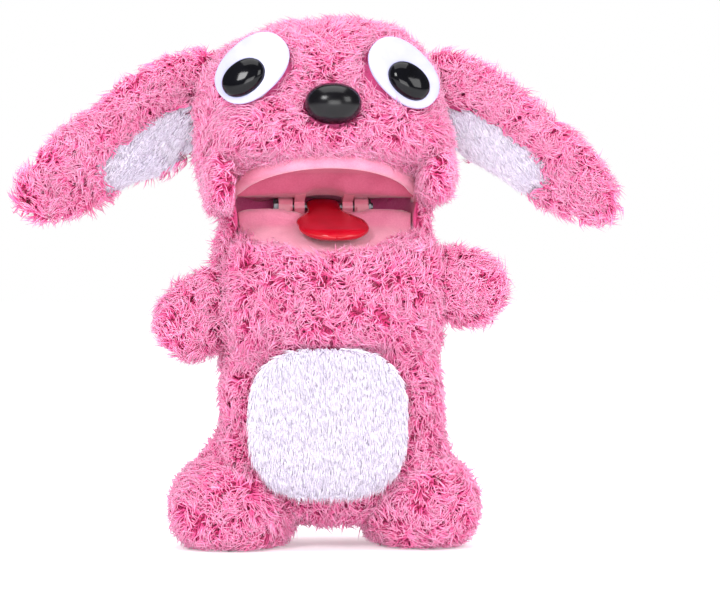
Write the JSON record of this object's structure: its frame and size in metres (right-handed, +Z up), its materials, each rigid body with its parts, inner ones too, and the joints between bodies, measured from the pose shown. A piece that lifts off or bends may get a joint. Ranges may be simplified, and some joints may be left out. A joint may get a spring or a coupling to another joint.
{
  "type": "moving mouth puppet",
  "caption": "Shaggy pink plush hand puppet with floppy ears, googly plate eyes and a hinged felt-lined mouth that opens when the tummy plate is squeezed.",
  "frame": {"origin": "on the ground under the middle of the puppet standing on its feet", "axes": "+Z up, the face looks towards -Y, +X to the viewer's right"},
  "size_m": [0.2387, 0.089, 0.202],
  "materials": {
    "pink_plush": "matte",
    "white_plush": "matte",
    "pink_felt": "matte",
    "stuffing": "matte",
    "foam": "matte",
    "pink_plastic": "satin",
    "red_plastic": "gloss",
    "white_plastic": "gloss",
    "black_plastic": "gloss",
    "frame_plastic": "matte",
    "washer_plastic": "matte",
    "steel": "satin"
  },
  "bodies": {
    "torso": {"lower_jaw_plate": "pink_plastic", "lower_mouth_lining": "pink_felt", "tongue": "red_plastic", "hinge_pin": "steel", "hinge_pin_ring": "steel", "lever_pin": "steel", "lever_pin_ring": "steel", "back_shell": "frame_plastic", "front_shell": "frame_plastic", "shell_screw_1": "steel", "shell_screw_2": "steel", "shell_screw_3": "steel", "shell_screw_4": "steel", "jaw_screw_1": "steel", "jaw_screw_2": "steel", "return_spring": "steel", "foot_left": "pink_plush", "foot_right": "pink_plush", "body_front_pelt": "pink_plush", "body_back_pelt": "pink_plush", "seat_stuffing": "stuffing", "body_stuffing_left": "stuffing", "body_stuffing_right": "stuffing"},
    "head": {"upper_jaw_plate": "pink_plastic", "upper_mouth_lining": "pink_felt", "crank_pin": "steel", "head_pelt": "pink_plush", "head_stuffing": "stuffing", "eye_white_left": "white_plastic", "eye_white_right": "white_plastic", "pupil_left": "black_plastic", "pupil_right": "black_plastic", "eye_washer_left": "washer_plastic", "eye_washer_right": "washer_plastic", "nose": "black_plastic", "nose_washer": "washer_plastic"},
    "squeeze_lever_body": {"squeeze_lever": "frame_plastic", "thumb_plate": "frame_plastic", "thumb_plate_screw_lower": "steel", "thumb_plate_screw_upper": "steel", "tummy_pad": "foam", "tummy_patch": "white_plush"},
    "ear_left_body": {"ear_left": "pink_plush", "ear_lining_left": "white_plush"},
    "ear_right_body": {"ear_right": "pink_plush", "ear_lining_right": "white_plush"},
    "arm_left_body": {"arm_left": "pink_plush"},
    "arm_right_body": {"arm_right": "pink_plush"}
  },
  "joints": [
    {"name": "mouth_hinge", "type": "hinge", "parent": "torso", "child": "head", "pos_m": [0, 0.018, 0.13], "axis": [-1, 0, 0], "range_deg": [-30.5, 6], "stiffness_Nm_per_rad": 1.2},
    {"name": "squeeze_lever_pivot", "type": "hinge", "parent": "torso", "child": "squeeze_lever_body", "pos_m": [0, -0.005, 0.078], "axis": [1, 0, 0], "range_deg": [-8.7, 1.75]},
    {"name": "ear_left_flop", "type": "hinge", "parent": "head", "child": "ear_left_body", "pos_m": [-0.047, 0.008, 0.1755], "axis": [0, 1, 0], "range_deg": [-20, 20], "stiffness_Nm_per_rad": 0.3},
    {"name": "ear_right_flop", "type": "hinge", "parent": "head", "child": "ear_right_body", "pos_m": [0.047, 0.008, 0.1755], "axis": [0, -1, 0], "range_deg": [-20, 20], "stiffness_Nm_per_rad": 0.3},
    {"name": "arm_left_swing", "type": "hinge", "parent": "torso", "child": "arm_left_body", "pos_m": [-0.044, -0.002, 0.094], "axis": [0, 1, 0], "range_deg": [-20, 20], "stiffness_Nm_per_rad": 0.1},
    {"name": "arm_right_swing", "type": "hinge", "parent": "torso", "child": "arm_right_body", "pos_m": [0.044, -0.002, 0.098], "axis": [0, -1, 0], "range_deg": [-20, 20], "stiffness_Nm_per_rad": 0.1}
  ],
  "couplings": [
    {"joint": "squeeze_lever_pivot", "follows": "mouth_hinge", "ratio": 0.284}
  ]
}
